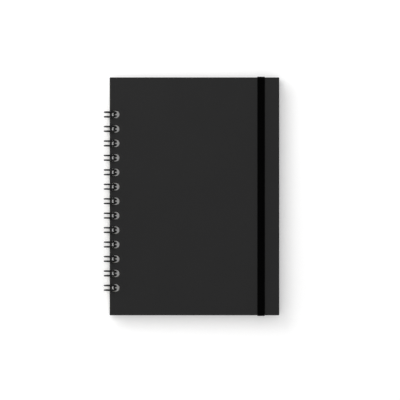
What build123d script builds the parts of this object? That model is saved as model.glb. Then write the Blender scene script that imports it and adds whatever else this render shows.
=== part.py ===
"""Small hardcover sketchbook, bound along its left side with a twin-loop wire and held shut by an elastic.

The book is drawn in its own coordinates: X runs from the spine edge of the covers to the fore-edge,
Y from the tail to the head, and Z up from the middle of the closed book's thickness. Each solid is
then moved so that the origin is under the middle of the closed book, level with the lowest point of
the loops. Millimetres throughout.
"""

from build123d import *
import os
from math import cos, radians, sin

# Covers: greyboard in a wrap that is turned in round all four edges, with a lining pasted inside
COVER_WIDTH = 149.0
COVER_HEIGHT = 209.0
WRAP = 0.2
BOARD = 1.0
LINING = 0.2
TURN_IN = 12.0
LINING_INSET = 3.0
LINING_SPINE_INSET = 1.0

# Text block
SHEET_COUNT = 20
SHEET = 0.2
SHEET_WIDTH = 146.0
SHEET_HEIGHT = 204.0

# Punching: one hole for each loop, at the pitch of two loops to the inch. Its fore-edge end is round;
# its spine end is squarer, so that the two wires of a loop pass as the cover turns
LOOP_COUNT = 13
LOOP_PITCH = 12.7
FIRST_LOOP_FROM_HEAD = 32.55
HOLE_MARGIN = 2.0
HOLE_LENGTH = 6.5
HOLE_WIDTH = 6.3
HOLE_SPINE_CORNER = 1.2
HOLE_FAR_CORNER = 3.1

# Twin-loop wire
WIRE_RADIUS = 0.65
LOOP_RADIUS = 5.25
LOOP_REACH = 5.385
LOOP_HALF_SPACING = 2.025
TAPER_ANGLE = 58.0
TIP_ANGLE = -42.0
TIP_RADIUS = 0.95
BASE_ANGLE = -70.0
BASE_BEND = 1.2
STUB = 2.4

# Elastic closure, which leaves through two slots in the back cover
ELASTIC_WIDTH = 6.5
ELASTIC = 0.65
ELASTIC_FROM_SPINE = 133.0
SLOT_FROM_EDGE = 18.0
SLOT_LENGTH = 7.2
SLOT_WIDTH = 1.1
ANCHOR_LENGTH = 9.6
ANCHOR_WIDTH = 2.4
ANCHOR = 0.7
POCKET_GAP = 0.2

# Worked out
COVER = WRAP + BOARD + WRAP + LINING
BLOCK = SHEET_COUNT * SHEET
BOOK = BLOCK + 2 * COVER
LOOP_CENTRE = LOOP_RADIUS + WIRE_RADIUS - LOOP_REACH
LOOP_YS = [COVER_HEIGHT / 2 - FIRST_LOOP_FROM_HEAD - k * LOOP_PITCH for k in range(LOOP_COUNT)]
TO_ORIGIN = Pos((LOOP_REACH - COVER_WIDTH) / 2, 0, LOOP_RADIUS + WIRE_RADIUS)


def slab(x0, x1, y0, y1, z0, z1):
    """A rectangular block between two corners."""
    middle = Pos((x0 + x1) / 2, (y0 + y1) / 2, (z0 + z1) / 2)
    return middle * Box(x1 - x0, y1 - y0, abs(z1 - z0))


def leaf(width, height, z0, z1):
    """A block with one long side on the spine edge, centred from head to tail."""
    return slab(0, width, -height / 2, height / 2, z0, z1)


def punches():
    """The thirteen punched holes, as posts through the whole book."""
    outline = Rectangle(HOLE_LENGTH, HOLE_WIDTH)
    outline = fillet(outline.vertices().group_by(Axis.X)[0], HOLE_SPINE_CORNER)
    outline = fillet(outline.vertices().group_by(Axis.X)[-1], HOLE_FAR_CORNER)
    post = extrude(outline, amount=BOOK / 2, both=True)
    x = HOLE_MARGIN + HOLE_LENGTH / 2
    return [Pos(x, y, 0) * post for y in LOOP_YS]


def cover_pieces(side, posts):
    """Wrap, board and lining of one cover; side is 1 for the front cover above, -1 for the back."""
    z_lining = side * BLOCK / 2
    z_turn_in = z_lining + side * LINING
    z_board = z_turn_in + side * WRAP
    z_wrap = z_board + side * BOARD
    z_outside = z_wrap + side * WRAP
    half = COVER_HEIGHT / 2
    wrap = leaf(COVER_WIDTH, COVER_HEIGHT, z_turn_in, z_outside)
    wrap -= slab(WRAP, COVER_WIDTH - WRAP, WRAP - half, half - WRAP, z_board, z_wrap)
    middle = (TURN_IN, COVER_WIDTH - TURN_IN, TURN_IN - half, half - TURN_IN)
    wrap -= slab(*middle, z_turn_in, z_board)
    board = slab(WRAP, COVER_WIDTH - WRAP, WRAP - half, half - WRAP, z_board, z_wrap)
    edge = half - LINING_INSET
    lining = slab(
        LINING_SPINE_INSET, COVER_WIDTH - LINING_INSET, -edge, edge, z_lining, z_turn_in
    )
    lining += slab(*middle, z_turn_in, z_board)
    return [piece - posts for piece in (wrap, board, lining)]


def sheets(posts):
    """The drawing sheets, the top one first."""
    made = []
    for number in range(SHEET_COUNT):
        top = BLOCK / 2 - number * SHEET
        made.append(leaf(SHEET_WIDTH, SHEET_HEIGHT, top - SHEET, top) - posts)
    return made


def on_ring(angle, y, ahead=0.0):
    """A point on the loop's circle, or the given distance ahead of it along the tangent."""
    a = radians(angle)
    x = LOOP_CENTRE + LOOP_RADIUS * cos(a) - ahead * sin(a)
    z = LOOP_RADIUS * sin(a) + ahead * cos(a)
    return Vector(x, y, z)


def along_ring(angle):
    """The direction of the ring at an angle, going clockwise as seen from the tail."""
    return Vector(sin(radians(angle)), 0, -cos(radians(angle)))


def ring_arc(y):
    """One wire of a loop, from its base round the spine side to where it starts to taper."""
    start = BASE_ANGLE + 360
    middle = (start + TAPER_ANGLE) / 2
    return ThreePointArc(on_ring(start, y), on_ring(middle, y), on_ring(TAPER_ANGLE, y))


def leaving_arc(start, end, way):
    """The arc from one point to another that leaves the first in a given direction."""
    chord = end - start
    half_turn = radians(way.get_angle(chord)) / 2
    towards_middle = (way + chord.normalized()).normalized()
    middle = start + towards_middle * (chord.length / (2 * cos(half_turn)))
    return ThreePointArc(start, middle, end)


def taper(y_wide, y_narrow):
    """Two tangent arcs that bring one wire in from the width of the loop to the width of its tip."""
    start = on_ring(TAPER_ANGLE, y_wide)
    end = on_ring(TIP_ANGLE, y_narrow)
    start_way = along_ring(TAPER_ANGLE)
    end_way = along_ring(TIP_ANGLE)
    gap = end - start
    both_ways = gap.dot(start_way + end_way)
    bend = 2 * (1 - start_way.dot(end_way))
    pull = ((both_ways**2 + bend * gap.dot(gap)) ** 0.5 - both_ways) / bend
    meeting = (start + start_way * pull + end - end_way * pull) * 0.5
    return leaving_arc(start, meeting, start_way), leaving_arc(end, meeting, end_way * -1)


def base_bend(y, turn):
    """A quarter bend at the open base of a loop, from the ring to the line of the bridges."""
    diagonal = BASE_BEND * sin(radians(45))
    start = on_ring(BASE_ANGLE, y)
    middle = on_ring(BASE_ANGLE, y + turn * (BASE_BEND - diagonal), diagonal)
    end = on_ring(BASE_ANGLE, y + turn * BASE_BEND, BASE_BEND)
    return start, middle, end


def twin_loop_wire():
    """One wire bent into thirteen flat fingers, which are closed into rings round the spine."""
    edges = []
    before = on_ring(BASE_ANGLE, LOOP_YS[0] + LOOP_HALF_SPACING + BASE_BEND + STUB, BASE_BEND)
    for y in LOOP_YS:
        head_side = y + LOOP_HALF_SPACING
        tail_side = y - LOOP_HALF_SPACING
        start, middle, end = base_bend(head_side, 1)
        edges.append(Line(before, end))
        edges.append(ThreePointArc(end, middle, start))
        edges.append(ring_arc(head_side))
        edges += taper(head_side, y + TIP_RADIUS)
        tip_ends = [on_ring(TIP_ANGLE, y + TIP_RADIUS), on_ring(TIP_ANGLE, y - TIP_RADIUS)]
        edges.append(ThreePointArc(tip_ends[0], on_ring(TIP_ANGLE, y, -TIP_RADIUS), tip_ends[1]))
        edges += taper(tail_side, y - TIP_RADIUS)
        edges.append(ring_arc(tail_side))
        start, middle, end = base_bend(tail_side, -1)
        edges.append(ThreePointArc(start, middle, end))
        before = end
    edges.append(Line(before, before + Vector(0, -STUB, 0)))
    path = Wire([edge.edge() for edge in edges])
    section = Plane(origin=path @ 0, z_dir=path % 0) * Circle(WIRE_RADIUS)
    return sweep(section, path=path)


def elastic_band():
    """A flat elastic round both covers, whose ends turn in through the slots of the back cover."""
    edge_y = COVER_HEIGHT / 2
    slot_y = edge_y - SLOT_FROM_EDGE
    face_z = BOOK / 2
    outer_z = face_z + ELASTIC
    near_y = slot_y - ELASTIC / 2
    far_y = slot_y + ELASTIC / 2
    end_z = -BLOCK / 2 - LINING - WRAP
    bow = ELASTIC * sin(radians(45))
    half = [
        Line((0, outer_z), (edge_y, outer_z)),
        ThreePointArc((edge_y, outer_z), (edge_y + bow, face_z + bow), (edge_y + ELASTIC, face_z)),
        Line((edge_y + ELASTIC, face_z), (edge_y + ELASTIC, -face_z)),
        ThreePointArc((edge_y + ELASTIC, -face_z), (edge_y + bow, -face_z - bow), (edge_y, -outer_z)),
        Line((edge_y, -outer_z), (far_y, -outer_z)),
        ThreePointArc((far_y, -outer_z), (far_y - bow, -face_z - bow), (near_y, -face_z)),
        Line((near_y, -face_z), (near_y, end_z)),
        Line((near_y, end_z), (far_y, end_z)),
        Line((far_y, end_z), (far_y, -face_z)),
        Line((far_y, -face_z), (edge_y, -face_z)),
        Line((edge_y, -face_z), (edge_y, face_z)),
        Line((edge_y, face_z), (0, face_z)),
        Line((0, face_z), (0, outer_z)),
    ]
    outline = make_face(Curve() + half)
    band = extrude(Plane.YZ * outline, amount=ELASTIC_WIDTH / 2, both=True)
    band += mirror(band, about=Plane.XZ)
    return Pos(ELASTIC_FROM_SPINE, 0, 0) * band


def elastic_anchor(end):
    """The metal bar crimped on one end of the elastic; end is 1 at the head, -1 at the tail."""
    inner = -BLOCK / 2 - LINING - WRAP
    bar = Box(ANCHOR_LENGTH, ANCHOR_WIDTH, ANCHOR) - Box(ELASTIC_WIDTH, ELASTIC, ANCHOR)
    y = end * (COVER_HEIGHT / 2 - SLOT_FROM_EDGE)
    return Pos(ELASTIC_FROM_SPINE, y, inner - ANCHOR / 2) * bar


def anchor_cuts():
    """At each end of the elastic, its slot through the back cover and the anchor's pocket."""
    inner = -BLOCK / 2 - LINING - WRAP
    cuts = []
    for end in (1, -1):
        y = end * (COVER_HEIGHT / 2 - SLOT_FROM_EDGE)
        slot = Pos(ELASTIC_FROM_SPINE, y, -BOOK / 2) * Box(SLOT_LENGTH, SLOT_WIDTH, 2 * (BOARD + WRAP))
        pocket = Box(ANCHOR_LENGTH + POCKET_GAP, ANCHOR_WIDTH + POCKET_GAP, 2 * ANCHOR)
        cuts += [slot, Pos(ELASTIC_FROM_SPINE, y, inner) * pocket]
    return cuts


posts = punches()
cuts = anchor_cuts()
parts = {}
parts["front_cover_wrap"], parts["front_cover_board"], parts["front_cover_lining"] = cover_pieces(1, posts)
for number, sheet in enumerate(sheets(posts), start=1):
    parts[f"sheet_{number:02d}"] = sheet
back_wrap, back_board, parts["back_cover_lining"] = cover_pieces(-1, posts)
parts["back_cover_wrap"] = back_wrap - cuts
parts["back_cover_board"] = back_board - cuts
parts["twin_loop_wire"] = twin_loop_wire()
parts["elastic_band"] = elastic_band()
parts["elastic_anchor_head"] = elastic_anchor(1)
parts["elastic_anchor_tail"] = elastic_anchor(-1)

os.makedirs("parts", exist_ok=True)
for name, part in parts.items():
    export_step(TO_ORIGIN * part, f"parts/{name}.step")
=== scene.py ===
"""Looks of the small hardcover sketchbook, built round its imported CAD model.

Shapes are worked out in millimetres in the model's own frame: X from the wire to the fore-edge, Y from
the tail to the head, Z up out of the front cover. They are turned into metres as each mesh is made.
"""

import math
import random

import bmesh
import bpy
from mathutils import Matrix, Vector
from mathutils.geometry import tessellate_polygon


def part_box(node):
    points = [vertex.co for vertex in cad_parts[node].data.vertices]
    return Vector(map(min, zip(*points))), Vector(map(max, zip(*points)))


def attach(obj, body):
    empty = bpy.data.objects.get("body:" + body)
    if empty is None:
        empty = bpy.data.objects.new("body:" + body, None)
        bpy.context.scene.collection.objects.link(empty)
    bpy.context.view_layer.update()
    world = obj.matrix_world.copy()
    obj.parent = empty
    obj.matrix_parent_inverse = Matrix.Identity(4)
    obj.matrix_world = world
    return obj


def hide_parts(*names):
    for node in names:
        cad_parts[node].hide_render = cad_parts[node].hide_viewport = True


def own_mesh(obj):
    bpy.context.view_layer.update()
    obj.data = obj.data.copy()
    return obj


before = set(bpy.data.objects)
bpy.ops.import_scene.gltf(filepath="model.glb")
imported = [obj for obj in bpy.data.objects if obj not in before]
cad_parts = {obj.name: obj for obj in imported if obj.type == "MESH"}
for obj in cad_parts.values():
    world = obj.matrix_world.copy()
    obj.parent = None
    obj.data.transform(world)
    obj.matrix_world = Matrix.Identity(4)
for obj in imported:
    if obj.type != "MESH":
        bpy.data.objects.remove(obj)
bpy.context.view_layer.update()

MM = 0.001

# Covers, as in the CAD model. COVER is a cover's thickness without its lining
CLOTH = 0.2
TURN_IN = 12.0
COVER = 1.4
LINING = 0.2
CORNER = 0.7

# Rounding of a cover's outer and turned-in edges, and the narrow flat strip beside each
EDGE_ROUND = 0.5
TURN_ROUND = 0.35
SUPPORT = 0.2

# Lining: its corners and edges, and its step down from the turn-ins to the board
LINING_CORNER = 0.5
LINING_ROUND = 0.06
SINK = 0.12
SLOPE_START = TURN_IN - 0.3
SLOPE_WIDTH = 1.4
SLOPE_STEPS = 6

# Punching
LOOP_COUNT = 13
LOOP_PITCH = 12.7
HOLE_MARGIN = 2.0
HOLE_LENGTH = 6.5
HOLE_WIDTH = 6.3
HOLE_SPINE_CORNER = 1.2
HOLE_FAR_CORNER = 3.1
RIM_ROUND = 0.45

# Outlines: smallest corner, steps round a corner, shares along a side, and steps round an edge
LEAST_CORNER = 0.12
COVER_CORNER_STEPS = 5
HOLE_CORNER_STEPS = 8
SHEET_CORNER_STEPS = 4
SHEET_HOLE_CORNER_STEPS = 6
LONG_SIDE = (0.01, 0.03, 0.07, 0.15, 0.3, 0.5, 0.7, 0.85, 0.93, 0.97, 0.99)
ROUND_STEPS = 5
FINE_ROUND_STEPS = 3

# Twin-loop wire, drawn 0.14 mm thicker than the CAD wire, with its loops the same size outside.
# Angles are in degrees round a loop, from the fore-edge side towards the front cover
WIRE_RADIUS = 0.72
LOOP_HALF_SPACING = 2.025
TAPER_ANGLE = 58.0
TIP_ANGLE = -42.0
TIP_RADIUS = 0.95
BASE_ANGLE = -70.0
BASE_BEND = 1.2
STUB = 2.4
BLUNT_LENGTH = 0.16
BLUNT_SHARE = 0.75
WIRE_SIDES = 14
RING_STEPS = 40
TAPER_STEPS = 9
TIP_STEPS = 14
BASE_STEPS = 7

# Elastic closure. ELASTIC_SEAT is from a cover's face to the middle of the elastic
ELASTIC_HALF_THICKNESS = 0.3
ELASTIC_SEAT = 0.325
ELASTIC_RIBS = 11
RIB_DEPTH = 0.05
RIB_STEPS = 5
ELASTIC_SIDE_STEPS = 8

# Steps along half of the elastic: its front run, bends, edge run, back run, and bend into the slot
FRONT_RUN_STEPS = 34
EDGE_BEND_STEPS = 8
EDGE_RUN_STEPS = 5
BACK_RUN_STEPS = 8
SLOT_BEND_STEPS = 6

# The elastic's sideways wander: the share kept from one point to the next, and the most added
SWAY_KEPT = 0.7
SWAY_STEP = 0.02
SWAY_SEED = 11

# The elastic's slots in the back cover, and the pockets for its ends
SLOT_FROM_EDGE = 18.0
SLOT_LENGTH = 7.2
SLOT_WIDTH = 1.1
SLOT_CORNER = 0.2
SLOT_ROUND = 0.25
SLOT_BEND = 0.4
SLOT_END_GAP = 0.02
POCKET_LENGTH = 9.8
POCKET_WIDTH = 2.6
POCKET_DEPTH = 0.7

# Drawing sheets. Each is drawn thinner by SHEET_HALF_GAP on both faces, so that they don't touch
SHEET_COUNT = 20
SHEET_ROUND = 0.05
SHEET_JOG = 0.09
SHEET_CORNER = 0.5
SHEET_HALF_GAP = 0.008
JOG_SEED = 5

# Wear stored on the points of each mesh, from 0 to 1. Round the punched holes the full wear is partly
# crushed cloth and partly a painted highlight for the lit rims
EDGE_WEAR = 0.35
# rims of the holes and slots: lightened as crushed cloth and as a painted highlight
HOLE_WEAR_AND_HIGHLIGHT = 1.0
LINING_WEAR = 0.5
SHEET_WEAR = 0.4


def box_mm(name):
    """Lowest and highest corner of a CAD node, in millimetres."""
    low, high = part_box(name)
    return low / MM, high / MM


wire_low, wire_high = box_mm("twin_loop_wire")
RING_RADIUS = (wire_high.z - wire_low.z) / 2 - WIRE_RADIUS
RING_X = wire_low.x + WIRE_RADIUS + RING_RADIUS
RING_Z = (wire_low.z + wire_high.z) / 2
LOOP_YS = [
    (wire_low.y + wire_high.y) / 2 + LOOP_PITCH * ((LOOP_COUNT - 1) / 2 - k)
    for k in range(LOOP_COUNT)
]


# ---------------------------------------------------------------- mesh building

class Shell:
    """A closed mesh put together from loops of points, given in millimetres."""

    def __init__(self):
        self.mesh = bmesh.new()
        self.wear = self.mesh.verts.layers.float.new("wear")

    def loop(self, points, wear=0.0):
        """New points, all with the same wear."""
        made = []
        for point in points:
            vert = self.mesh.verts.new([c * MM for c in point])
            vert[self.wear] = wear
            made.append(vert)
        return made

    def strip(self, loops):
        """Quads all round between each loop and the next."""
        for a, b in zip(loops, loops[1:]):
            for i in range(len(a)):
                self.mesh.faces.new((a[i - 1], a[i], b[i], b[i - 1]))

    def fill(self, outline, holes=()):
        """Triangles over the flat area between an outline and the holes in it."""
        rings = [outline, *holes]
        verts = [vert for ring in rings for vert in ring]
        flat = [[vert.co / MM for vert in ring] for ring in rings]
        for triangle in tessellate_polygon(flat):
            self.mesh.faces.new([verts[i] for i in triangle])

    def piece(self, name, material, sharp=35.0):
        """The finished object, smooth except at edges sharper than the angle given."""
        bmesh.ops.recalc_face_normals(self.mesh, faces=self.mesh.faces)
        data = bpy.data.meshes.new(name)
        self.mesh.to_mesh(data)
        self.mesh.free()
        data.shade_smooth()
        data.set_sharp_from_angle(angle=math.radians(sharp))
        data.materials.append(material)
        made = bpy.data.objects.new(name, data)
        bpy.context.scene.collection.objects.link(made)
        return made


def grown(rect, by):
    """A rectangle (x0, x1, y0, y1, corner radius at x0, and at x1) grown; a minus shrinks it."""
    x0, x1, y0, y1, *corners = rect
    bends = [max(corner + by, LEAST_CORNER) for corner in corners]
    return (x0 - by, x1 + by, y0 - by, y1 + by, *bends)


def rectangle(rect, z, corner_steps, side_shares=(0.5,)):
    """Points round a rectangle with rounded corners, anticlockwise from the right side's top.

    Each straight side gets a point at every share of its length in side_shares.
    """
    x0, x1, y0, y1, near, far = rect
    bends = (
        (x1 - far, y1 - far, far),
        (x0 + near, y1 - near, near),
        (x0 + near, y0 + near, near),
        (x1 - far, y0 + far, far),
    )
    corners = []
    for quarter, (cx, cy, corner) in enumerate(bends):
        arc = []
        for step in range(corner_steps + 1):
            angle = math.radians(90 * (quarter + step / corner_steps))
            arc.append(Vector((cx + corner * math.cos(angle), cy + corner * math.sin(angle), z)))
        corners.append(arc)
    points = []
    for arc, following in zip(corners, corners[1:] + corners[:1]):
        points += arc
        points += [arc[-1].lerp(following[0], share) for share in side_shares]
    return points


def rounding(radius, steps=ROUND_STEPS):
    """(offset inwards, depth) of points round a quarter circle, from the face to the side."""
    turns = [math.radians(90 * step / steps) for step in range(steps + 1)]
    return [(radius * (1 - math.sin(a)), radius * (1 - math.cos(a))) for a in turns]


class Cover:
    """One cover's outline, face and direction. Depth is measured inwards from its outer face."""

    def __init__(self, side):
        self.body = "front_cover" if side > 0 else "back_cover"
        low, high = box_mm(self.body + "_wrap")
        self.side = side
        self.rect = (low.x, high.x, low.y, high.y, CORNER, CORNER)
        self.face = high.z if side > 0 else low.z
        x0 = low.x + HOLE_MARGIN
        half = HOLE_WIDTH / 2
        x1 = x0 + HOLE_LENGTH
        bends = (HOLE_SPINE_CORNER, HOLE_FAR_CORNER)
        self.holes = [(x0, x1, y - half, y + half, *bends) for y in LOOP_YS]

    def z(self, depth):
        """The height of a depth inside the cover."""
        return self.face - self.side * depth

    def edge_loops(self, shell, profile, wear=0.0, rect=None):
        """A loop round the cover for each (offset inwards, depth)."""
        loops = []
        for offset, depth in profile:
            area = grown(rect or self.rect, -offset)
            outline = rectangle(area, self.z(depth), COVER_CORNER_STEPS, LONG_SIDE)
            loops.append(shell.loop(outline, wear))
        return loops

    def rim_loops(self, shell, hole, profile, wear=0.0):
        """A loop round a hole for each (offset outwards, depth)."""
        loops = []
        for offset, depth in profile:
            outline = rectangle(grown(hole, offset), self.z(depth), HOLE_CORNER_STEPS)
            loops.append(shell.loop(outline, wear))
        return loops


def slots_of(cover):
    """The two slots and, under them, the pockets for the ends of the elastic."""
    low, high = box_mm("elastic_band")
    x = (low.x + high.x) / 2
    slots = []
    pockets = []
    for y in (cover.rect[3] - SLOT_FROM_EDGE, cover.rect[2] + SLOT_FROM_EDGE):
        for made, length, width in (
            (slots, SLOT_LENGTH, SLOT_WIDTH),
            (pockets, POCKET_LENGTH, POCKET_WIDTH),
        ):
            ends = (x - length / 2, x + length / 2)
            made.append((*ends, y - width / 2, y + width / 2, SLOT_CORNER, SLOT_CORNER))
    return slots, pockets


def openings(cover, slots):
    """Each punched hole and each slot, with the rounding of its rim."""
    return [(hole, RIM_ROUND) for hole in cover.holes] + [(slot, SLOT_ROUND) for slot in slots]


def cloth_piece(cover, slots, material):
    """The wrap: rounded over the board's edges, turned in, and drawn down into the holes."""
    shell = Shell()
    back = COVER - CLOTH
    face_loops = cover.edge_loops(shell, [(EDGE_ROUND + SUPPORT, 0.0)])
    round_loops = cover.edge_loops(shell, rounding(EDGE_ROUND), EDGE_WEAR)
    turned = [(offset, COVER - depth) for offset, depth in reversed(rounding(TURN_ROUND))]
    turn_loops = cover.edge_loops(shell, turned, EDGE_WEAR)
    flat_loops = cover.edge_loops(shell, [(TURN_ROUND + SUPPORT, COVER)])
    shell.strip(face_loops + round_loops + turn_loops + flat_loops)
    cut_loops = cover.edge_loops(shell, [(TURN_IN, COVER), (TURN_IN, back)])
    shell.strip(cut_loops)
    inside_loops = cover.edge_loops(shell, [(CLOTH, back), (CLOTH, CLOTH)])
    shell.strip(inside_loops)
    face_holes = []
    under_holes = []
    for hole, radius in openings(cover, slots):
        under = radius - CLOTH / 2
        rim = cover.rim_loops(shell, hole, [(radius + SUPPORT, 0.0)])
        # the rim's wear lightens the cloth: crushing by the punch, and a painted highlight
        rim += cover.rim_loops(shell, hole, rounding(radius), HOLE_WEAR_AND_HIGHLIGHT)
        drawn = [(offset, CLOTH + depth) for offset, depth in reversed(rounding(under))]
        rim += cover.rim_loops(shell, hole, drawn)
        shell.strip(rim)
        face_holes.append(rim[0])
        under_holes.append(rim[-1])
    turn_holes = []
    lift_holes = []
    for hole in cover.holes:
        rim = cover.rim_loops(shell, hole, [(0.0, COVER), (0.0, back)])
        shell.strip(rim)
        turn_holes.append(rim[0])
        lift_holes.append(rim[1])
    shell.fill(face_loops[0], face_holes)
    shell.fill(flat_loops[0], [cut_loops[0], *turn_holes])
    shell.fill(inside_loops[0], [cut_loops[1], *lift_holes])
    shell.fill(inside_loops[1], under_holes)
    return shell.piece(cover.body + "_cloth", material)


def core_piece(cover, slots, pockets, material):
    """The greyboard in the wrap, with its punched holes and the pockets for the elastic's ends."""
    shell = Shell()
    back = COVER - CLOTH
    edge = cover.edge_loops(shell, [(CLOTH, CLOTH), (CLOTH, back)])
    shell.strip(edge)
    top_holes = []
    bottom_holes = []
    for hole, radius in openings(cover, slots):
        under = radius - CLOTH / 2
        profile = [(offset, CLOTH + depth) for offset, depth in rounding(under)]
        if hole in slots:
            pocket = pockets[slots.index(hole)]
            floor = back - POCKET_DEPTH
            rim = cover.rim_loops(shell, hole, [*profile, (0.0, floor)])
            rim += cover.rim_loops(shell, pocket, [(0.0, floor), (0.0, back)])
        else:
            rim = cover.rim_loops(shell, hole, [*profile, (0.0, back)])
        shell.strip(rim)
        top_holes.append(rim[0])
        bottom_holes.append(rim[-1])
    shell.fill(edge[0], top_holes)
    shell.fill(edge[1], bottom_holes)
    return shell.piece(cover.body + "_core", material)


def lining_piece(cover, material):
    """The pasted lining, sunk a little where it leaves the turn-ins."""
    shell = Shell()
    low, high = box_mm(cover.body + "_lining")
    rect = (low.x, high.x, low.y, high.y, LINING_CORNER, LINING_CORNER)
    seen = COVER + LINING
    profile = [(offset, seen - depth) for offset, depth in rounding(LINING_ROUND, FINE_ROUND_STEPS)]
    profile.append((0.0, COVER))
    edge = cover.edge_loops(shell, profile, LINING_WEAR, rect)
    shell.strip(edge)
    slope = []
    for step in range(SLOPE_STEPS + 1):
        share = step / SLOPE_STEPS
        drop = SINK * (0.5 - 0.5 * math.cos(math.pi * share))
        slope.append((SLOPE_START + SLOPE_WIDTH * share, seen - drop))
    sunk = cover.edge_loops(shell, slope)
    shell.strip(sunk)
    plug = cover.edge_loops(shell, [(TURN_IN, COVER), (TURN_IN, COVER - CLOTH)])
    shell.strip(plug)
    seen_holes = []
    pasted_holes = []
    for hole in cover.holes:
        rim = cover.rim_loops(shell, hole, profile, LINING_WEAR)
        shell.strip(rim)
        seen_holes.append(rim[0])
        pasted_holes.append(rim[-1])
    shell.fill(edge[0], [sunk[0], *seen_holes])
    shell.fill(sunk[-1])
    shell.fill(edge[-1], [plug[0], *pasted_holes])
    shell.fill(plug[1])
    return shell.piece(cover.body + "_endpaper", material)


def sheet_piece(number, cover, jog, material):
    """One drawing sheet, with soft cut edges and its own small place in the stack."""
    low, high = box_mm(f"sheet_{number:02d}")
    dx, dy = jog
    shell = Shell()
    rect = (low.x + dx, high.x + dx, low.y + dy, high.y + dy, SHEET_CORNER, SHEET_CORNER)
    middle = (low.z + high.z) / 2
    half = (high.z - low.z) / 2 - SHEET_HALF_GAP
    profile = [(offset, half - depth) for offset, depth in rounding(SHEET_ROUND, FINE_ROUND_STEPS)]
    profile += [(offset, -z) for offset, z in reversed(profile)]

    def cut_edge(area, sign, corner_steps, side_shares):
        """Loops from the upper face to the lower, grown with sign 1 or shrunk with sign -1."""
        loops = []
        for i, (offset, z) in enumerate(profile):
            outline = rectangle(grown(area, sign * offset), middle + z, corner_steps, side_shares)
            on_face = i in (0, len(profile) - 1)
            loops.append(shell.loop(outline, 0.0 if on_face else SHEET_WEAR))
        return loops

    edge = cut_edge(rect, -1, SHEET_CORNER_STEPS, LONG_SIDE)
    shell.strip(edge)
    rims = []
    for x0, x1, y0, y1, *bends in cover.holes:
        hole = (x0 + dx, x1 + dx, y0 + dy, y1 + dy, *bends)
        rims.append(cut_edge(hole, 1, SHEET_HOLE_CORNER_STEPS, ()))
    for rim in rims:
        shell.strip(rim)
    shell.fill(edge[0], [rim[0] for rim in rims])
    shell.fill(edge[-1], [rim[-1] for rim in rims])
    return shell.piece(f"drawing_sheet_{number:02d}", material)


# ---------------------------------------------------------------- twin-loop wire

def on_ring(angle, y, ahead=0.0):
    """A point on the loop's circle, or some way past it, anticlockwise along the tangent."""
    a = math.radians(angle)
    return Vector((
        RING_X + RING_RADIUS * math.cos(a) - ahead * math.sin(a),
        y,
        RING_Z + RING_RADIUS * math.sin(a) + ahead * math.cos(a),
    ))


def along_ring(angle):
    """The direction of the ring at an angle, going clockwise as seen from the tail."""
    return Vector((math.sin(math.radians(angle)), 0, -math.cos(math.radians(angle))))


def arc_points(start, end, way, steps):
    """Points along the arc that leaves start in the direction way, both ends included."""
    chord = end - start
    half = way.angle(chord)
    across = chord.normalized()
    points = []
    for step in range(steps + 1):
        turn = half * step / steps
        direction = (way * math.sin(half - turn) + across * math.sin(turn)) / math.sin(half)
        points.append(start + direction * (chord.length * math.sin(turn) / math.sin(half)))
    return points


def taper_points(y_wide, y_narrow):
    """Two tangent arcs that bring one wire in from the loop's width to its tip's width."""
    start = on_ring(TAPER_ANGLE, y_wide)
    end = on_ring(TIP_ANGLE, y_narrow)
    start_way = along_ring(TAPER_ANGLE)
    end_way = along_ring(TIP_ANGLE)
    gap = end - start
    both_ways = gap.dot(start_way + end_way)
    bend = 2 * (1 - start_way.dot(end_way))
    pull = (math.sqrt(both_ways**2 + bend * gap.dot(gap)) - both_ways) / bend
    meeting = (start + start_way * pull + end - end_way * pull) * 0.5
    first = arc_points(start, meeting, start_way, TAPER_STEPS)
    second = arc_points(end, meeting, -end_way, TAPER_STEPS)
    return first + second[-2::-1]


def ring_points(y):
    """One wire of a loop, from its base round the spine side to where it starts to taper."""
    start = BASE_ANGLE + 360
    sweep = TAPER_ANGLE - start
    return [on_ring(start + sweep * step / RING_STEPS, y) for step in range(RING_STEPS + 1)]


def base_points(y, turn):
    """The quarter bend at the open base of a loop, from the line of the bridges to the ring."""
    bridge = on_ring(BASE_ANGLE, y + turn * BASE_BEND, BASE_BEND)
    return arc_points(bridge, on_ring(BASE_ANGLE, y), Vector((0, -turn, 0)), BASE_STEPS)


def wire_path():
    """The whole bent wire, from its head end to its tail end."""
    head_end = LOOP_YS[0] + LOOP_HALF_SPACING + BASE_BEND + STUB
    points = [on_ring(BASE_ANGLE, head_end, BASE_BEND)]
    for y in LOOP_YS:
        head_side = y + LOOP_HALF_SPACING
        tail_side = y - LOOP_HALF_SPACING
        tip = (on_ring(TIP_ANGLE, y + TIP_RADIUS), on_ring(TIP_ANGLE, y - TIP_RADIUS))
        points += base_points(head_side, 1)
        points += ring_points(head_side)[1:]
        points += taper_points(head_side, y + TIP_RADIUS)[1:]
        points += arc_points(*tip, along_ring(TIP_ANGLE), TIP_STEPS)[1:]
        points += taper_points(tail_side, y - TIP_RADIUS)[-2::-1]
        points += ring_points(tail_side)[-2::-1]
        points += base_points(tail_side, -1)[-2::-1]
    points.append(points[-1] + Vector((0, -STUB, 0)))
    return points


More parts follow.
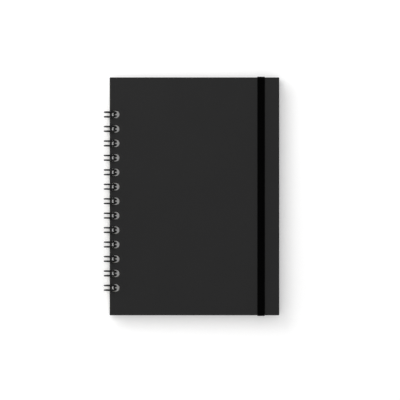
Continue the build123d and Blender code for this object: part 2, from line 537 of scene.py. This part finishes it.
def wire_piece(material):
    """A round tube along the wire's path, a little thinner at its cut ends."""
    shell = Shell()
    path = wire_path()
    ways = [(b - a).normalized() for a, b in zip(path, path[1:])]
    ways = [ways[0]] + [(a + b).normalized() for a, b in zip(ways, ways[1:])] + [ways[-1]]
    head_full = path[0] + ways[0] * BLUNT_LENGTH
    tail_full = path[-1] - ways[-1] * BLUNT_LENGTH
    path = [path[0], head_full, *path[1:-1], tail_full, path[-1]]
    ways = [ways[0], ways[0], *ways[1:-1], ways[-1], ways[-1]]
    end_radius = WIRE_RADIUS * BLUNT_SHARE
    radii = [end_radius] + [WIRE_RADIUS] * (len(path) - 2) + [end_radius]
    across = Vector((0, 0, 1)).cross(ways[0]).normalized()
    loops = []
    previous = ways[0]
    for point, way, radius in zip(path, ways, radii):
        across = previous.rotation_difference(way) @ across
        across = (across - way * across.dot(way)).normalized()
        other = way.cross(across)
        previous = way
        ring = []
        for side in range(WIRE_SIDES):
            a = 2 * math.pi * side / WIRE_SIDES
            ring.append(point + (across * math.cos(a) + other * math.sin(a)) * radius)
        loops.append(shell.loop(ring))
    shell.strip(loops)
    shell.mesh.faces.new(loops[0])
    shell.mesh.faces.new(loops[-1])
    return shell.piece("binding_wire", material, sharp=50.0)


# ---------------------------------------------------------------- elastic

def elastic_path(front, back):
    """Points and outward directions along the band, from the tail slot to the head slot."""
    edge = front.rect[3]
    slot = edge - SLOT_FROM_EDGE
    reach = EDGE_ROUND + ELASTIC_SEAT
    low_z = back.face - ELASTIC_SEAT
    high_z = front.face + ELASTIC_SEAT
    slot_end = back.z(COVER - CLOTH) - SLOT_END_GAP
    half = []

    def arc(cy, cz, radius, first, last, steps):
        """Round a corner, between two angles in degrees."""
        for step in range(steps + 1):
            a = math.radians(first + (last - first) * step / steps)
            out = Vector((0, math.cos(a), math.sin(a)))
            half.append((Vector((0, cy, cz)) + out * radius, out))

    def run(y0, z0, y1, z1, out, steps):
        """Straight from one point to another, without its ends."""
        for step in range(1, steps):
            share = step / steps
            half.append((Vector((0, y0 + (y1 - y0) * share, z0 + (z1 - z0) * share)), Vector(out)))

    corner = edge - EDGE_ROUND
    top_z = front.face - EDGE_ROUND
    bottom_z = back.face + EDGE_ROUND
    half.append((Vector((0, 0, high_z)), Vector((0, 0, 1))))
    run(0, high_z, corner, high_z, (0, 0, 1), FRONT_RUN_STEPS)
    arc(corner, top_z, reach, 90, 0, EDGE_BEND_STEPS)
    run(corner + reach, top_z, corner + reach, bottom_z, (0, 1, 0), EDGE_RUN_STEPS)
    arc(corner, bottom_z, reach, 0, -90, EDGE_BEND_STEPS)
    run(corner, low_z, slot + SLOT_BEND, low_z, (0, 0, -1), BACK_RUN_STEPS)
    arc(slot + SLOT_BEND, low_z + SLOT_BEND, SLOT_BEND, -90, -180, SLOT_BEND_STEPS)
    half.append((Vector((0, slot, slot_end)), Vector((0, -1, 0))))
    mirrored = [
        (Vector((0, -point.y, point.z)), Vector((0, -out.y, out.z)))
        for point, out in reversed(half[1:])
    ]
    return mirrored + half


def elastic_section():
    """(across, out) of points round the ribbed section of the band."""
    low, high = box_mm("elastic_band")
    half_width = (high.x - low.x) / 2
    thick = ELASTIC_HALF_THICKNESS
    flat = half_width - thick
    pitch = 2 * flat / ELASTIC_RIBS
    upper = []
    steps = ELASTIC_RIBS * RIB_STEPS
    for step in range(steps + 1):
        u = -flat + 2 * flat * step / steps
        groove = (0.5 + 0.5 * math.cos(2 * math.pi * (u + flat) / pitch)) ** 2
        upper.append((u, thick - RIB_DEPTH * groove))
    turns = [step / ELASTIC_SIDE_STEPS for step in range(1, ELASTIC_SIDE_STEPS)]
    ends = [math.radians(90 - 180 * turn) for turn in turns]
    right = [(flat + thick * math.cos(a), (thick - RIB_DEPTH) * math.sin(a)) for a in ends]
    lower = [(u, -v) for u, v in reversed(upper)]
    left = [(-u, -v) for u, v in right]
    return upper + right + lower + left


def elastic_piece(front, back, material):
    """The flat ribbed elastic, with edges that wander a little as knitted ones do."""
    low, high = box_mm("elastic_band")
    middle = (low.x + high.x) / 2
    section = elastic_section()
    half_width = (high.x - low.x) / 2
    shell = Shell()
    draw = random.Random(SWAY_SEED)
    sway = 0.0
    loops = []
    for point, out in elastic_path(front, back):
        sway = SWAY_KEPT * sway + draw.uniform(-SWAY_STEP, SWAY_STEP)
        ring = [
            Vector((middle + u + sway * u / half_width, point.y, point.z)) + out * v
            for u, v in section
        ]
        loops.append(shell.loop(ring))
    shell.strip(loops)
    shell.mesh.faces.new(loops[0])
    shell.mesh.faces.new(loops[-1])
    return shell.piece("elastic_strap", material, sharp=60.0)


# ---------------------------------------------------------------- materials

def new_material(name):
    """A material, its node tree and its shader."""
    material = bpy.data.materials.new(name)
    material.use_nodes = True
    return material, material.node_tree, material.node_tree.nodes["Principled BSDF"]


def feed(tree, socket, value):
    """Sets an input to a plain value, or joins it to another node's output."""
    if isinstance(value, bpy.types.NodeSocket):
        tree.links.new(value, socket)
    else:
        socket.default_value = value


def node(tree, kind, inputs, **settings):
    """A node with its settings, whose inputs are values or other nodes' outputs."""
    made = tree.nodes.new(kind)
    for key, value in settings.items():
        setattr(made, key, value)
    for key, value in inputs.items():
        feed(tree, made.inputs[key], value)
    return made


def place(tree, stretch=(1, 1, 1), turn=0.0):
    """Coordinates fixed to the piece, in metres."""
    source = tree.nodes.new("ShaderNodeTexCoord").outputs["Object"]
    inputs = {"Vector": source, "Scale": stretch, "Rotation": (0, 0, turn)}
    return node(tree, "ShaderNodeMapping", inputs).outputs["Vector"]


def noise(tree, at, size, detail=3.0, rough=0.5):
    """Noise from 0 to 1 whose features are about the given size in millimetres."""
    inputs = {"Vector": at, "Scale": 1 / (size * MM), "Detail": detail, "Roughness": rough}
    return node(tree, "ShaderNodeTexNoise", inputs).outputs["Fac"]


def cells(tree, at, size):
    """Distance from the middle of the nearest cell, for cells of a size in millimetres."""
    inputs = {"Vector": at, "Scale": 1 / (size * MM)}
    return node(tree, "ShaderNodeTexVoronoi", inputs, feature="F1").outputs["Distance"]


def spread(tree, value, low, high, from_low=0.3, from_high=0.7):
    """The value stretched from one range to another, and held inside it."""
    inputs = {"Value": value, "From Min": from_low, "From Max": from_high}
    inputs.update({"To Min": low, "To Max": high})
    return node(tree, "ShaderNodeMapRange", inputs).outputs["Result"]


def combine(tree, operation, a, b):
    """The result of a sum, a product or the like of two values."""
    return node(tree, "ShaderNodeMath", {0: a, 1: b}, operation=operation).outputs[0]


def blend(tree, factor, a, b):
    """One colour turning into another with a factor from 0 to 1."""
    first, second = [(*c, 1) if isinstance(c, tuple) else c for c in (a, b)]
    inputs = {0: factor, 6: first, 7: second}
    return node(tree, "ShaderNodeMix", inputs, data_type="RGBA").outputs[2]


def bump(tree, height, depth, after=None):
    """A bump whose full height is depth, in millimetres."""
    inputs = {"Height": height, "Distance": depth * MM, "Strength": 1.0}
    if after is not None:
        inputs["Normal"] = after
    return node(tree, "ShaderNodeBump", inputs).outputs["Normal"]


def wear_of(tree):
    """The wear stored on the piece's points."""
    return node(tree, "ShaderNodeAttribute", {}, attribute_name="wear").outputs["Fac"]


def finish_shader(tree, shader, colour, roughness, normal, **constants):
    """Joins up the shader; a constant's name has underscores for the spaces in its input's name."""
    tree.links.new(colour, shader.inputs["Base Color"])
    tree.links.new(roughness, shader.inputs["Roughness"])
    tree.links.new(normal, shader.inputs["Normal"])
    for key, value in constants.items():
        shader.inputs[key.replace("_", " ")].default_value = value


def cover_cloth():
    """Matte black bookbinding cloth with a fine pebble grain, rubbed along its edges, and lightened
    round the punched holes partly as crushed cloth and partly as a painted highlight.
    """
    material, tree, shader = new_material("cover_cloth")
    at = place(tree)
    grain = cells(tree, at, 0.42)
    fine = noise(tree, at, 0.16, 2.0)
    patch = noise(tree, at, 34.0, 3.0)
    rub = noise(tree, at, 1.6, 5.0, 0.65)
    worn = combine(tree, "MULTIPLY", wear_of(tree), spread(tree, rub, 0.0, 1.0, 0.42, 0.75))
    shade = spread(tree, patch, 0.0, 1.0)
    dyed = blend(tree, shade, (0.0131, 0.0131, 0.0133), (0.0147, 0.0146, 0.0148))
    pits = spread(tree, grain, 0.0, 1.0, 0.05, 0.6)
    pitted = blend(tree, pits, (0.0104, 0.0104, 0.0106), dyed)
    # lighter cloth: real rubbing along the edges; round the punched holes also a painted highlight
    wear_and_painted_highlight = combine(tree, "MULTIPLY", worn, 0.5)
    colour = blend(tree, wear_and_painted_highlight, pitted, (0.075, 0.074, 0.072))
    dull = spread(tree, patch, 0.63, 0.67)
    polish = combine(tree, "MULTIPLY", worn, 0.22)
    roughness = combine(tree, "SUBTRACT", dull, polish)
    normal = bump(tree, grain, 0.035)
    normal = bump(tree, fine, 0.012, normal)
    finish_shader(tree, shader, colour, roughness, normal, Specular_IOR_Level=0.16)
    return material


def greyboard():
    """Pressed grey pulp with darker and lighter fibres."""
    material, tree, shader = new_material("greyboard")
    pulp = noise(tree, place(tree), 0.5, 5.0, 0.7)
    layers = noise(tree, place(tree, (1, 1, 7)), 1.4, 3.0)
    base = blend(tree, spread(tree, layers, 0.0, 1.0), (0.22, 0.205, 0.18), (0.33, 0.31, 0.28))
    fibres = spread(tree, pulp, 0.0, 1.0, 0.55, 0.75)
    colour = blend(tree, fibres, base, (0.14, 0.13, 0.115))
    roughness = spread(tree, pulp, 0.82, 0.95)
    finish_shader(tree, shader, colour, roughness, bump(tree, pulp, 0.06), Specular_IOR_Level=0.2)
    return material


def lining_paper():
    """Black pasted paper with a faint felt mark and short fibres."""
    material, tree, shader = new_material("lining_paper")
    at = place(tree)
    felt = noise(tree, at, 0.7, 5.0, 0.6)
    fibre = noise(tree, place(tree, (1, 0.16, 1), 0.5), 0.14, 3.0)
    paste = noise(tree, at, 22.0, 2.0)
    base = blend(tree, spread(tree, felt, 0.0, 1.0), (0.017, 0.017, 0.018), (0.025, 0.025, 0.026))
    worn = combine(tree, "MULTIPLY", wear_of(tree), spread(tree, felt, 0.2, 1.0))
    colour = blend(tree, worn, base, (0.055, 0.054, 0.052))
    roughness = spread(tree, paste, 0.78, 0.9)
    normal = bump(tree, paste, 0.18)
    normal = bump(tree, felt, 0.03, normal)
    normal = bump(tree, fibre, 0.015, normal)
    finish_shader(tree, shader, colour, roughness, normal, Specular_IOR_Level=0.3)
    return material


def drawing_paper():
    """Warm white drawing paper with a light tooth, cloudy formation and slightly toned edges."""
    material, tree, shader = new_material("drawing_paper")
    at = place(tree)
    cloud = noise(tree, at, 6.0, 4.0, 0.6)
    tooth = noise(tree, at, 0.32, 4.0, 0.6)
    fibre = noise(tree, place(tree, (1, 0.12, 1), 0.9), 0.12, 2.0)
    base = blend(tree, spread(tree, cloud, 0.0, 1.0), (0.80, 0.775, 0.70), (0.86, 0.84, 0.775))
    specks = spread(tree, fibre, 0.0, 0.5, 0.66, 0.8)
    specked = blend(tree, specks, base, (0.68, 0.64, 0.55))
    colour = blend(tree, wear_of(tree), specked, (0.72, 0.68, 0.58))
    roughness = spread(tree, tooth, 0.80, 0.93)
    normal = bump(tree, tooth, 0.035)
    normal = bump(tree, fibre, 0.01, normal)
    finish_shader(tree, shader, colour, roughness, normal, Specular_IOR_Level=0.25)
    return material


def coated_wire():
    """Black nylon-coated steel wire, with fine orange peel and rubbed spots."""
    material, tree, shader = new_material("coated_wire")
    at = place(tree)
    peel = noise(tree, at, 0.35, 2.0)
    scuff = noise(tree, place(tree, (1, 5, 1)), 1.1, 5.0, 0.7)
    rubbed = spread(tree, scuff, 0.0, 1.0, 0.6, 0.74)
    colour = blend(tree, rubbed, (0.0032, 0.0032, 0.0035), (0.013, 0.013, 0.014))
    roughness = spread(tree, scuff, 0.18, 0.38, 0.45, 0.75)
    finish_shader(tree, shader, colour, roughness, bump(tree, peel, 0.01), Specular_IOR_Level=0.2)
    return material


def elastic_weave():
    """Dull black knitted elastic: thread crossing the ribs at a slant, with fine fluff."""
    material, tree, shader = new_material("elastic")
    inputs = {"Vector": place(tree, turn=0.6), "Scale": 1 / (2.2 * MM)}
    inputs.update({"Distortion": 1.2, "Detail": 2.0})
    threads = node(tree, "ShaderNodeTexWave", inputs, bands_direction="Y").outputs["Fac"]
    fluff = noise(tree, place(tree), 0.12, 3.0, 0.7)
    base = blend(tree, threads, (0.0003, 0.0003, 0.0003), (0.0009, 0.0009, 0.0010))
    tufts = spread(tree, fluff, 0.0, 0.5, 0.6, 0.85)
    colour = blend(tree, tufts, base, (0.0026, 0.0026, 0.0027))
    roughness = spread(tree, fluff, 0.86, 0.97)
    normal = bump(tree, threads, 0.07)
    normal = bump(tree, fluff, 0.025, normal)
    finish_shader(tree, shader, colour, roughness, normal, Specular_IOR_Level=0.02)
    return material


def brushed_steel():
    """Plated steel, brushed along the bar."""
    material, tree, shader = new_material("anchor_metal")
    lines = noise(tree, place(tree, (0.04, 1, 1)), 0.08, 3.0)
    tarnish = noise(tree, place(tree), 1.8, 3.0)
    shade = spread(tree, tarnish, 0.0, 1.0)
    colour = blend(tree, shade, (0.50, 0.49, 0.47), (0.64, 0.64, 0.65))
    roughness = spread(tree, lines, 0.26, 0.46)
    finish_shader(tree, shader, colour, roughness, bump(tree, lines, 0.01), Metallic=1.0)
    return material


def floor_paint():
    """Matte white, lit a little by itself so that it stays pale."""
    material, _, shader = new_material("studio_floor")
    shader.inputs["Base Color"].default_value = (0.86, 0.86, 0.86, 1)
    shader.inputs["Roughness"].default_value = 0.9
    shader.inputs["Specular IOR Level"].default_value = 0.0
    shader.inputs["Emission Color"].default_value = (1, 1, 1, 1)
    shader.inputs["Emission Strength"].default_value = 0.18
    return material


# ---------------------------------------------------------------- the sketchbook

cloth = cover_cloth()
board = greyboard()
paper = lining_paper()
front = Cover(1)
back = Cover(-1)
for cover in (front, back):
    slots, pockets = slots_of(cover) if cover is back else ([], [])
    for made, cad_node, slot in (
        (cloth_piece(cover, slots, cloth), "_wrap", "cover_cloth"),
        (core_piece(cover, slots, pockets, board), "_board", "greyboard"),
        (lining_piece(cover, paper), "_lining", "lining_paper"),
    ):
        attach(made, cover.body)
        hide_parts(cover.body + cad_node)

drawing = drawing_paper()
jogs = random.Random(JOG_SEED)
for number in range(1, SHEET_COUNT + 1):
    jog = (jogs.uniform(-SHEET_JOG, 0), jogs.uniform(-SHEET_JOG, SHEET_JOG))
    sheet = sheet_piece(number, front, jog, drawing)
    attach(sheet, f"sheet_{number:02d}_leaf")
    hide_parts(f"sheet_{number:02d}")

wire = wire_piece(coated_wire())
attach(wire, "back_cover")
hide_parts("twin_loop_wire")

strap = elastic_piece(front, back, elastic_weave())
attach(strap, "back_cover")
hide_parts("elastic_band")
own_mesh(strap)

steel = brushed_steel()
for end in ("head", "tail"):
    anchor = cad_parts["elastic_anchor_" + end]
    anchor.data.materials.clear()
    anchor.data.materials.append(steel)


# ---------------------------------------------------------------- studio

def add_floor():
    """A plain floor under the book, level with the lowest point of its loops."""
    size = 6.0
    data = bpy.data.meshes.new("floor")
    corners = [(-size, -size, 0), (size, -size, 0), (size, size, 0), (-size, size, 0)]
    data.from_pydata(corners, [], [(0, 1, 2, 3)])
    data.materials.append(floor_paint())
    floor = bpy.data.objects.new("floor", data)
    bpy.context.scene.collection.objects.link(floor)


def add_light(name, place_at, aim, width, height, power):
    """A rectangular soft light, in metres and watts, that the camera doesn't see."""
    data = bpy.data.lights.new(name, "AREA")
    data.shape = "RECTANGLE"
    data.size = width
    data.size_y = height
    data.energy = power
    light = bpy.data.objects.new(name, data)
    light.location = place_at
    light.rotation_euler = (Vector(aim) - Vector(place_at)).to_track_quat("-Z", "Y").to_euler()
    light.visible_camera = False
    bpy.context.scene.collection.objects.link(light)


def add_camera():
    """Straight down from a long way off, so that the covers' sides don't show.

    The picture's middle is a little beside and below the middle of the front cover.
    """
    view_width = 0.3513
    data = bpy.data.cameras.new("camera")
    data.sensor_width = 36.0
    data.lens = 300.0
    data.clip_start = 0.1
    data.clip_end = 30.0
    camera = bpy.data.objects.new("camera", data)
    x0, x1, y0, y1 = front.rect[:4]
    distance = view_width / 2 / (data.sensor_width / 2 / data.lens)
    beside = 4.87
    below = 3.23
    camera.location = (
        ((x0 + x1) / 2 + beside) * MM,
        ((y0 + y1) / 2 - below) * MM,
        front.face * MM + distance,
    )
    bpy.context.scene.collection.objects.link(camera)
    bpy.context.scene.camera = camera


def add_world():
    """Even white light from all round."""
    world = bpy.data.worlds.new("studio")
    world.use_nodes = True
    background = world.node_tree.nodes["Background"]
    background.inputs["Color"].default_value = (1, 1, 1, 1)
    background.inputs["Strength"].default_value = 0.80
    bpy.context.scene.world = world


add_floor()
add_world()
add_light("key", (-0.62, 0.62, 0.49), (0, 0, 0), 0.95, 0.4, 5.9)
add_light("side", (-2.2, 0.1, 0.2), (0, 0, 0.1), 3.2, 0.3, 38.0)
add_camera()
bpy.context.scene.view_settings.view_transform = "Standard"
